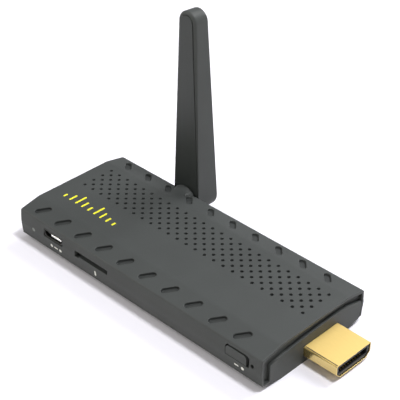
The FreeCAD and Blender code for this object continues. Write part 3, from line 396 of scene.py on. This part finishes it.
wallOpenings = {
    "lip": 0.12, "crispLip": 0.04, "through": 2.0, "holeSides": 28,
    "power": [(-36.67, 5.98), (-28.53, 5.98), (-28.53, 8.57), (-36.67, 8.57)], "powerCorners": 0.35,
    "card": [(-23.2, 5.8), (-21.6, 5.8), (-21.6, 6.35), (-9.7, 6.35), (-9.7, 7.65), (-23.2, 7.65)],
    "cardCorners": 0,
    "button": [(34.7, 5.65), (42.9, 5.65), (42.9, 9.1), (34.7, 9.1)], "buttonCorners": [0.3, 0.3, 1.1, 1.1],
    "host": [(-6.67, 2.83), (6.67, 2.83), (6.67, 8.77), (-6.67, 8.77)], "hostCorners": 0.4,
    "pinHole": (44.05, 6.95, 0.56), "lightHole": (-41.4, 5.7, 0.65),
}


def nearPlace(u, v, height):  # the near wall leans inwards, both below and above its widest line
    foot, widest, shoulder = topCover["corners"][1:4]
    inner = foot if v < widest[1] else shoulder
    lean = (widest[0] - inner[0]) * (v - widest[1]) / (inner[1] - widest[1])
    return (u, lean - widest[0] - height, v)


def rearPlace(u, v, height):
    return (-topCover["end"] - height, -u, v)


def wallCutters():
    w = wallOpenings

    def grown(name):
        return lambda extra: roundLoop(insetLoop(w[name], -extra), w[name + "Corners"])

    mouths = [(name, grown(name), place, w["lip"]) for name, place in (
        ("power", nearPlace), ("card", nearPlace), ("button", nearPlace), ("host", rearPlace))]
    mouths += [(name, circle(*w[name], w["holeSides"]), nearPlace, w["crispLip"])
               for name in ("pinHole", "lightHole")]
    cutters = [meshObject(name + "Cutter", *flared(outline, place, w["through"], lip))
               for name, outline, place, lip in mouths]
    shaft = [(topCover["shaftHole"], topCover[key]) for key in ("shaftFrom", "shaftTo")]
    return cutters + [meshObject("shaftCutter", *latheY(shaft, topCover["pivotX"], topCover["pivotZ"],
                                                        topCover["shaftSides"]))]


def coverTree(tools):
    tree = bpy.data.node_groups.new("coverCuts", "GeometryNodeTree")
    face = tree.interface
    face.new_socket("Geometry", in_out="INPUT", socket_type="NodeSocketGeometry")
    sizes = {}
    for name, kind, value in (("Vent pitch", "Float", topCover["ventPitch"] * mm),
                              ("Vent columns", "Int", topCover["ventColumns"]),
                              ("Vent rows", "Int", topCover["ventRows"]),
                              ("Slot pitch", "Float", topCover["slotPitch"] * mm),
                              ("Slot count", "Int", topCover["slotCount"])):
        socket = face.new_socket(name, in_out="INPUT", socket_type=f"NodeSocket{kind}")
        socket.default_value = value
        sizes[name] = (socket.identifier, value)
    face.new_socket("Geometry", in_out="OUTPUT", socket_type="NodeSocketGeometry")
    given = addNode(tree, "NodeGroupInput").outputs
    cavity, rim, hump, vent, nearSlot, farSlot, *openings = (
        addNode(tree, "GeometryNodeObjectInfo", {"Object": tool}).outputs["Geometry"] for tool in tools)

    double = addNode(tree, "ShaderNodeMath", {0: given["Vent pitch"], 1: 2.0}, operation="MULTIPLY")
    places = []
    for fewer in (0.0, 1.0):  # two square grids, the second one in the gaps of the first
        counts = [addNode(tree, "ShaderNodeMath", {0: given[name], 1: fewer}, operation="SUBTRACT").outputs[0]
                  for name in ("Vent columns", "Vent rows")]
        spans = []
        for count in counts:
            gaps = addNode(tree, "ShaderNodeMath", {0: count, 1: 1.0}, operation="SUBTRACT")
            spans.append(addNode(tree, "ShaderNodeMath", {0: gaps.outputs[0], 1: double.outputs[0]},
                                 operation="MULTIPLY").outputs[0])
        grid = addNode(tree, "GeometryNodeMeshGrid", {"Size X": spans[0], "Size Y": spans[1],
                                                      "Vertices X": counts[0], "Vertices Y": counts[1]})
        moved = addNode(tree, "GeometryNodeTransform", {
            "Geometry": grid.outputs["Mesh"],
            "Translation": [value * mm for value in topCover["ventMiddle"]] + [0]})
        places.append((moved.outputs["Geometry"], vent))
    step = addNode(tree, "ShaderNodeCombineXYZ", {"X": given["Slot pitch"]}).outputs[0]
    row = addNode(tree, "GeometryNodeMeshLine", {"Count": given["Slot count"], "Offset": step}).outputs[0]
    copies = [addNode(tree, "GeometryNodeInstanceOnPoints", {"Points": points, "Instance": cutter}).outputs[0]
              for points, cutter in places + [(row, nearSlot), (row, farSlot)]]
    repeated = addNode(tree, "GeometryNodeJoinGeometry", {0: copies}).outputs[0]
    cutters = addNode(tree, "GeometryNodeRealizeInstances", {"Geometry": repeated}).outputs[0]
    wall = addNode(tree, "GeometryNodeJoinGeometry", {0: [cutters] + openings}).outputs[0]

    shell = given["Geometry"]
    for tool, operation in (
            (cavity, "DIFFERENCE"), (rim, "DIFFERENCE"), (hump, "UNION"), (wall, "DIFFERENCE")):
        shell = addNode(tree, "GeometryNodeMeshBoolean",
                        {1: [shell, tool]} if operation == "UNION" else {0: shell, 1: tool},
                        operation=operation, solver="MANIFOLD").outputs["Mesh"]
    sound = addNode(tree, "GeometryNodeMergeByDistance", {"Geometry": shell, "Distance": 1e-6}).outputs[0]
    whole = addNode(tree, "GeometryNodeRealizeInstances", {"Geometry": sound}).outputs[0]
    painted = addNode(tree, "GeometryNodeSetMaterial", {"Geometry": whole, "Material": slotShadeAbs()})
    addNode(tree, "NodeGroupOutput", {0: painted.outputs[0]})
    return tree, sizes


def buildTopCover():
    c = topCover
    end, past, rim, edge = c["end"], c["overshoot"], c["rimWall"], c["rimEdge"]
    rings = [coverSection(-end + along, inset) for inset, along in edgeSteps(c["rearEdge"])]
    rings += [coverSection(end - along, inset) for inset, along in reversed(edgeSteps(c["frontEdge"]))]
    body = meshObject("coverBody", *loft(rings))
    cavity = meshObject("cavity", *loft([coverSection(-end + c["wall"], c["wall"], -past),
                                         coverSection(end + past, c["wall"], -past)]))
    bow = edge * c["rimBow"]
    rimCut = meshObject("rimCut", *loft([coverSection(x, inset, -past) for x, inset in (
        (end - c["rimDepth"], rim), (end - edge, rim), (end - bow, rim - bow), (end, rim - edge),
        (end + past, rim - edge))]))
    profile = [(c["humpStart"], c["humpFrom"])] + [
        (c["humpRadius"] - inset, c["humpTo"] - along) for inset, along in reversed(edgeSteps(c["humpEdge"]))]
    hump = meshObject("hump", *latheY(profile, c["pivotX"], c["pivotZ"], c["humpSides"]))
    tools = [cavity, rimCut, hump, ventCutter(), slotCutter("nearSlot", 1), slotCutter("farSlot", -1),
             *wallCutters()]
    tree, sizes = coverTree(tools)
    cuts = body.modifiers.new("cuts", "NODES")
    cuts.node_group = tree
    for identifier, value in sizes.values():
        cuts[identifier] = value
    cover = evaluated(body, "caseTop")
    for tool in tools:
        bpy.data.objects.remove(tool)
    bpy.data.node_groups.remove(tree)
    return finished(cover, "case", "case_plastic", "top_cover")


caseTop = buildTopCover()
print("top cover made,", len(caseTop.data.polygons), "faces")


# Bottom cover, with the block round the plug

block = {"corners": [(-17.15, 1.3), (13.0, 1.3), (18.95, 1.9), (19.45, 6.05), (19.15, 7.2), (13.4, 8.6),
                     (-17.15, 7.2)],
         "crown": 170.0, "crownSteps": 8, "edge": 0.2, "back": 45.9, "front": 47.2, "width": 2.0,
         "ease": 0.12}


def blockFrame(x, inset):  # a hook along the block's near, upper and far edge, drawn in by inset outside
    foot, (farY, farZ), (nearY, nearZ) = block["corners"][0], *block["corners"][-2:]
    rise = ((farY - nearY) ** 2 + (farZ - nearZ) ** 2) / (8 * block["crown"])
    crown = [(farY + (nearY - farY) * part, farZ + (nearZ - farZ) * part + 4 * rise * part * (1 - part))
             for part in (i / block["crownSteps"] for i in range(1, block["crownSteps"]))]
    loop = block["corners"][:-1] + crown + block["corners"][-1:]
    # The underside's three corners are left out, and the hook ends at the near foot
    outer, inner = (insetLoop(loop, edge)[3:] + [(foot[0] + edge, foot[1])]
                    for edge in (inset, block["width"]))
    return [(x, y, z) for y, z in outer + inner[::-1]]


def buildBase():  # the CAD's base with a crisper edge on the block
    rings = [blockFrame(block["back"], 0)]
    rings += [blockFrame(block["front"] - along, inset)
              for inset, along in reversed(edgeSteps(block["edge"]))]
    frameRing = meshObject("blockFrame", *loft(rings), caseAbs)
    base = softCopy("bottom_cover", "eased", caseAbs, block["ease"])
    join = base.modifiers.new("join", "BOOLEAN")
    join.operation, join.solver, join.object = "UNION", "EXACT", frameRing
    base = evaluated(base, "caseBase")
    bpy.data.objects.remove(frameRing)
    finished(base, "case", "case_plastic", "bottom_cover")


buildBase()
print("bottom cover made")


# Video plug: a drawn shell with rounded corners and a rolled mouth, polished below its matt upper face

videoPlug = {"middle": 2.85, "halfWidth": 6.95, "halfFoot": 5.3, "top": 5.3, "side": 2.9, "height": 4.45,
             "corner": 0.5, "leastCorner": 0.1, "cornerSteps": 8, "from": 40.0, "to": 58.1, "sheet": 0.25,
             "mouthEdge": 0.11, "coreEase": 0.08, "coreFront": 57.4, "coreShift": 0.2,
             "polishedUpTo": 4.9, "mattFrom": 5.2, "polished": 0.2, "matt": 0.66}


def polishSides(material):
    p = videoPlug
    tree, shader = shaderOf(material)
    tree.nodes.remove(shader.inputs["Roughness"].links[0].from_node)
    place = addNode(tree, "ShaderNodeTexCoord").outputs["Object"]
    height = addNode(tree, "ShaderNodeSeparateXYZ", {0: place}).outputs["Z"]
    level = addNode(tree, "ShaderNodeMapRange", {
        "Value": height, "From Min": p["polishedUpTo"] * mm, "From Max": p["mattFrom"] * mm,
        "To Min": p["polished"], "To Max": p["matt"]})
    tree.links.new(level.outputs["Result"], shader.inputs["Roughness"])


def plugSection(x, inset):
    p = videoPlug
    foot, waist = p["top"] - p["height"], p["top"] - p["side"]
    corners = [(p["middle"] + out, z) for out, z in (
        (-p["halfFoot"], foot), (p["halfFoot"], foot), (p["halfWidth"], waist), (p["halfWidth"], p["top"]),
        (-p["halfWidth"], p["top"]), (-p["halfWidth"], waist))]
    radius = max(p["corner"] - inset, p["leastCorner"])
    return [(x, y, z) for y, z in roundLoop(insetLoop(corners, inset), radius, p["cornerSteps"])]


def buildPlug():
    p = videoPlug
    polishSides(shellGold)
    mouth = edgeSteps(p["mouthEdge"], 3)
    rings = [plugSection(p["from"], 0)]
    rings += [plugSection(p["to"] - along, inset) for inset, along in reversed(mouth)]
    rings += [plugSection(p["to"] - along, p["sheet"] - inset) for inset, along in mouth]
    rings.append(plugSection(p["from"], p["sheet"]))
    finished(meshObject("plugShell", *loft(rings, closed=True), shellGold), "case", "gold_plate",
             "video_plug_shell")
    insulator = softCopy("video_plug_insulator", "plugInsulator", socketResin, p["coreEase"])
    for vertex in insulator.data.vertices:  # its front comes closer to the mouth
        if vertex.co.x > p["coreFront"] * mm:
            vertex.co.x += p["coreShift"] * mm
    finished(insulator, "case", "black_plastic", "video_plug_insulator")


buildPlug()
print("video plug made")


# Aerial: tapered housing with a rounded front edge, and the panel let into it

aerialForm = {"x": -20.2, "pivot": 7.3, "rootRadius": 5.12, "tipRadius": 3.37, "reach": 57.4, "face": 20.8,
              "rootDepth": 8.2, "tipDepth": 5.0, "rootMargin": 0.25, "tipMargin": 1.02, "backEdge": 0.35,
              "rootLip": 0.05, "tipLip": 0.25, "rearDrop": 0.3, "panelBack": 21.9, "panelGap": 0.12,
              "rootProud": 0.04, "tipProud": 0.27, "panelEdge": 0.12, "panelClear": 0.02,
              "sides": 40, "straightSteps": 12, "frontSteps": 6, "backSteps": 3, "panelSteps": 3}


def tongueRing(rootMargin, tipMargin):  # (x, z) points round the aerial, drawn in by the margins
    a = aerialForm
    root, tip = a["rootRadius"] - rootMargin, a["tipRadius"] - tipMargin
    lean = math.asin((root - tip) / a["reach"])
    half, steps = a["sides"] // 2, a["straightSteps"]
    rootArc, tipArc = (root, a["pivot"]), (tip, a["pivot"] + a["reach"])

    def point(radius, height, angle):
        return a["x"] + radius * math.cos(angle), height + radius * math.sin(angle)

    ring = []
    for arc, following, start, turn in ((tipArc, rootArc, lean, math.pi - 2 * lean),
                                        (rootArc, tipArc, math.pi - lean, math.pi + 2 * lean)):
        ring += [point(*arc, start + turn * i / half) for i in range(half + 1)]
        first, last = (point(*end, start + turn) for end in (arc, following))
        ring += [tuple(p + (q - p) * (i / steps) for p, q in zip(first, last)) for i in range(1, steps)]
    return ring


def tapered(root, tip, z):  # a size at height z, from its value at the pivot and the one at the tip
    share = min(max((z - aerialForm["pivot"]) / aerialForm["reach"], 0), 1)
    return root + (tip - root) * share


def buildAerial():
    a = aerialForm
    rings = [[(x, y, z) for x, z in tongueRing(a["rootMargin"], a["tipMargin"])]
             for y in (a["panelBack"], a["face"])]
    rootEdge, tipEdge = a["rootMargin"] - a["rootLip"], a["tipMargin"] - a["tipLip"]
    rings += [[(x, a["face"] + tapered(rootEdge, tipEdge, z) * along, z)
               for x, z in tongueRing(rootEdge * inset, tipEdge * inset)]
              for inset, along in edgeSteps(1, a["frontSteps"])]
    rings += [[(x, a["face"] + tapered(a["rootDepth"], a["tipDepth"], z) - along,
                z - tapered(0, a["rearDrop"], z)) for x, z in tongueRing(inset, inset)]
              for inset, along in reversed(edgeSteps(a["backEdge"], a["backSteps"]))]
    finished(meshObject("aerialShell", *loft(rings), caseAbs), "aerial", "case_plastic", "aerial_housing")
    margins = (a["rootMargin"] + a["panelGap"], a["tipMargin"] + a["panelGap"])
    rings = [[(x, a["face"] - tapered(a["rootProud"], a["tipProud"], z) + along, z)
              for x, z in tongueRing(margins[0] + inset, margins[1] + inset)]
             for inset, along in edgeSteps(a["panelEdge"], a["panelSteps"])]
    rings.append([(x, a["panelBack"] - a["panelClear"], z) for x, z in tongueRing(*margins)])
    finished(meshObject("aerialFront", *loft(rings), panelAbs), "aerial", "dark_plastic", "aerial_panel")


buildAerial()
print("aerial made")


# Push button and sockets: CAD pieces with eased edges

for node, name, material, body, slot, width, segments in (
        ("function_button", "pushButton", caseAbs, "button", "case_plastic", 0.16, 3),
        ("power_socket_shell", "powerSocketShell", shadedSocketSteel, "case", "connector_steel", 0.06, 2),
        ("power_socket_tongue", "powerSocketTongue", socketResin, "case", "black_plastic", 0.08, 2),
        ("host_socket_shell", "hostShell", tinnedSheet, "case", "connector_steel", 0.08, 2),
        ("host_socket_tongue", "hostTongue", socketResin, "case", "black_plastic", 0.1, 2),
        ("card_socket_frame", "cardFrame", socketResin, "case", "black_plastic", 0.06, 2)):
    finished(softCopy(node, name, material, width, segments), body, slot, node)

# The power socket's tongue carries a bright contact plate on its front edge
contactPlate = {"x": (-34.0, -29.6), "y": (-19.9, -19.4), "z": (6.9, 7.56), "edge": 0.1, "corner": 0.15}
# A black bar along the plug's near upper edge: a painted dark reflection line where the shell turns from its
# top to its side
plugSeam = {"x": (47.3, 57.95), "y": (-3.74, -3.5), "z": (5.0, 5.33), "edge": 0.03, "corner": 0.04}


def buildBar(name, form, material, slot):  # a small bar, rounded in outline and eased towards the near side
    (left, right), (front, back), (low, high) = (form[key] for key in "xyz")
    outline = [(left, low), (right, low), (right, high), (left, high)]
    rings = [[(x, front + along, z) for x, z in roundLoop(insetLoop(outline, inset), form["corner"])]
             for inset, along in edgeSteps(form["edge"], 3)]
    rings.append([(x, back, z) for x, z in roundLoop(outline, form["corner"])])
    finished(meshObject(name, *loft(rings), material), "case", slot)


buildBar("powerContactPlate", contactPlate, brightTin, "connector_steel")
buildBar("plugSeam", plugSeam, socketResin, "black_plastic")
print("sockets and button made")


# Printed marks, plain bars and dots. The white ones are (x, z, width, length)

marks = {"thickness": 0.025, "sunk": 0.02, "roundness": 0.999, "roundSteps": 6,
         "yellowFrom": -41.6, "yellowPitch": 2.6, "yellowBase": -8.5,
         "yellowWidth": 0.66, "yellowLengths": [1.6, 3.0, 4.4, 3.0, 2.2, 4.4, 3.0, 2.2, 1.6],
         "white": [(-33.6, 3.5, 1.0, 1.0), (-31.7, 3.75, 1.6, 0.5), (-29.8, 3.5, 1.0, 1.0),
                   (-14.9, 3.2, 0.6, 1.7), (38.6, 3.8, 1.5, 0.5), (40.7, 3.55, 1.0, 1.0)]}


def barMark(name, place, width, length, material):
    ring = roundLoop([(-width / 2, 0), (width / 2, 0), (width / 2, length), (-width / 2, length)],
                     min(width, length) / 2 * marks["roundness"], marks["roundSteps"])
    rings = [[place(u, v, height) for u, v in ring] for height in (-marks["sunk"], marks["thickness"])]
    return meshObject(name, *loft(rings), material)


def joined(parts, name):
    work = bmesh.new()
    for part in parts:
        work.from_mesh(part.data)
    mesh = bpy.data.meshes.new(name)
    work.to_mesh(mesh)
    work.free()
    mesh.materials.append(parts[0].data.materials[0])
    for part in parts:
        bpy.data.objects.remove(part)
    return addObject(name, mesh)


def buildMarks():
    def onTop(x, y):
        return lambda u, v, height: (x + u, y + v, coverTop + height)

    def onWall(x, z):
        return lambda u, v, height: nearPlace(x + u, z + v, height)

    m = marks
    bars = [barMark("bar", onTop(m["yellowFrom"] + i * m["yellowPitch"], m["yellowBase"]), m["yellowWidth"],
                    length, yellowInk) for i, length in enumerate(m["yellowLengths"])]
    finished(joined(bars, "topMark"), "case", "case_plastic")
    small = [barMark("sign", onWall(x, z), width, length, whiteInk) for x, z, width, length in m["white"]]
    finished(joined(small, "sideMarks"), "case", "case_plastic")


buildMarks()
print("marks made")


# The other CAD pieces keep their shapes

for material, names in {
        goldPlate: ("video_plug_contacts", "card_socket_contacts", "host_socket_contacts", "coax_plug",
                    "aerial_sleeve", "aerial_wire"),
        tinnedSheet: ("card_socket_cover", "clock_crystal", "radio_module"),
        turnedSteel: ("hinge_shaft", "hinge_clip", "board_screws"),
        socketResin: ("function_switch", "function_plunger", "reset_switch", "reset_plunger", "power_coils"),
        frostedClear: ("light_pipe", "status_led"),
        nylon: ("hinge_washer",), cableJacket: ("coax_lead", "aerial_feed"), solderMask: ("main_board",),
        chipResin: ("processor", "memory_chips", "flash_chip", "power_chip"), siliconePad: ("thermal_pad",),
        rolledAluminium: ("heat_spreader",), ceramic: ("capacitors",)}.items():
    for name in names:
        nodes[name].data.materials.clear()
        nodes[name].data.materials.append(material)
print("all pieces dressed")


# Floor, light and camera. The paper's shadows fade out between shadowReach and whiteReach from the origin

studio = {"floorSize": 6.0, "paper": "#f1f0f9", "paperBounce": "#ece8de",
          "shadowReach": 0.12, "whiteReach": 0.5, "ambient": 0.33, "clear": 0.4,
          "brightSide": (-0.7, 0.7, 0.0), "brightSpan": 0.8, "nearSide": 0.7}
lights = {"keyLight": {"power": 3.1, "size": 0.4, "place": (0.06, 0.5, 0.5), "colour": "#ffffff"},
          "fillLight": {"power": 1.85, "size": 0.4, "place": (-0.42, -0.36, 0.38), "colour": "#fffaf0"},
          "sideLight": {"power": 2.7, "size": 0.1, "place": (0.18, 0.06, 0.63), "colour": "#ffffff"},
          "lowLight": {"power": 0.55, "size": 0.3, "place": (0.5, -0.3, 0.15), "colour": "#fffaf0"}}
shot = {"azimuth": 44.01, "elevation": 34.04, "roll": 0.648, "place": (194.578, -195.582, 212.533),
        "focal": 1231.13, "pixels": 400, "sensor": 36.0, "clip": (0.01, 20)}


def buildFloor():
    half = studio["floorSize"] / 2
    corners = [(-half, -half, 0), (half, -half, 0), (half, half, 0), (-half, half, 0)]
    mesh = bpy.data.meshes.new("floor")
    mesh.from_pydata(corners, [], [(0, 1, 2, 3)])
    item = addObject("floor", mesh)
    material = bpy.data.materials.new("whitePaper")  # matt white paper, lifted to white far from the object
    material.use_nodes = True
    tree = material.node_tree
    tree.nodes.clear()
    path = addNode(tree, "ShaderNodeLightPath")
    shown = addNode(tree, "ShaderNodeMath", {
        0: path.outputs["Is Camera Ray"], 1: path.outputs["Is Glossy Ray"]}, operation="MAXIMUM")
    sheet = addNode(tree, "ShaderNodeMix", {  # 6 and 7 are its two colours
        0: shown.outputs[0], 6: srgb(studio["paperBounce"]), 7: srgb(studio["paper"])}, data_type="RGBA")
    paper = addNode(tree, "ShaderNodeBsdfDiffuse", {"Color": sheet.outputs[2]})
    glow = addNode(tree, "ShaderNodeEmission", {"Color": white})
    away = addNode(tree, "ShaderNodeVectorMath", {0: addNode(tree, "ShaderNodeTexCoord").outputs["Object"]},
                   operation="LENGTH")
    lift = addNode(tree, "ShaderNodeMapRange", {
        "Value": away.outputs["Value"], "From Min": studio["shadowReach"], "From Max": studio["whiteReach"]})
    lifted = addNode(tree, "ShaderNodeMath", {0: shown.outputs[0], 1: lift.outputs["Result"]},
                     operation="MULTIPLY")
    mix = addNode(tree, "ShaderNodeMixShader", {
        0: lifted.outputs[0], 1: paper.outputs[0], 2: glow.outputs[0]})
    addNode(tree, "ShaderNodeOutputMaterial", {"Surface": mix.outputs[0]})
    mesh.materials.append(material)


def buildLights():  # all of them face the origin
    for name, form in lights.items():
        lamp = bpy.data.lights.new(name, "AREA")
        lamp.shape, lamp.size, lamp.energy = "DISK", form["size"], form["power"]
        lamp.color = srgb(form["colour"])[:3]
        item = addObject(name, lamp)
        item.location = form["place"]
        item.rotation_euler = Vector(form["place"]).to_track_quat("Z", "Y").to_euler()


def buildRoom():  # brighter behind the object than on the near side
    world = bpy.data.worlds.new("studio")
    scene.world = world
    world.use_nodes = True
    tree = world.node_tree
    tree.nodes.clear()
    path = addNode(tree, "ShaderNodeLightPath")
    side = addNode(tree, "ShaderNodeVectorMath", {0: addNode(tree, "ShaderNodeTexCoord").outputs["Generated"],
                                                  1: studio["brightSide"]}, operation="DOT_PRODUCT")
    level = addNode(tree, "ShaderNodeMapRange", {
        "Value": side.outputs["Value"], "From Min": -studio["brightSpan"], "From Max": studio["brightSpan"],
        "To Min": studio["nearSide"]})
    strengths = [addNode(tree, "ShaderNodeMath", {0: level.outputs["Result"], 1: studio[key]},
                         operation="MULTIPLY").outputs[0] for key in ("ambient", "clear")]
    soft, clear = (addNode(tree, "ShaderNodeBackground", {"Color": white, "Strength": strength})
                   for strength in strengths)
    backdrop = addNode(tree, "ShaderNodeBackground", {"Color": white})
    mirrored = addNode(tree, "ShaderNodeMixShader", {
        0: path.outputs["Is Glossy Ray"], 1: soft.outputs[0], 2: clear.outputs[0]})
    mix = addNode(tree, "ShaderNodeMixShader", {
        0: path.outputs["Is Camera Ray"], 1: mirrored.outputs[0], 2: backdrop.outputs[0]})
    addNode(tree, "ShaderNodeOutputWorld", {"Surface": mix.outputs[0]})
    scene.view_settings.view_transform = "Standard"


def buildCamera():
    azimuth, elevation, roll = (math.radians(shot[key]) for key in ("azimuth", "elevation", "roll"))
    back = Vector((math.sin(azimuth) * math.cos(elevation), -math.cos(azimuth) * math.cos(elevation),
                   math.sin(elevation)))
    level = Vector((0, 0, 1)).cross(back).normalized()
    raised = back.cross(level)
    right = math.cos(roll) * level + math.sin(roll) * raised
    up = -math.sin(roll) * level + math.cos(roll) * raised
    lens = bpy.data.cameras.new("camera")
    lens.sensor_width, lens.lens = shot["sensor"], shot["focal"] * shot["sensor"] / shot["pixels"]
    lens.clip_start, lens.clip_end = shot["clip"]
    item = addObject("camera", lens)
    turned = Matrix((right, up, back)).transposed().to_4x4()
    item.matrix_world = Matrix.Translation(Vector(shot["place"]) * mm) @ turned
    scene.camera = item


buildFloor()
buildLights()
buildRoom()
buildCamera()
print("studio made")
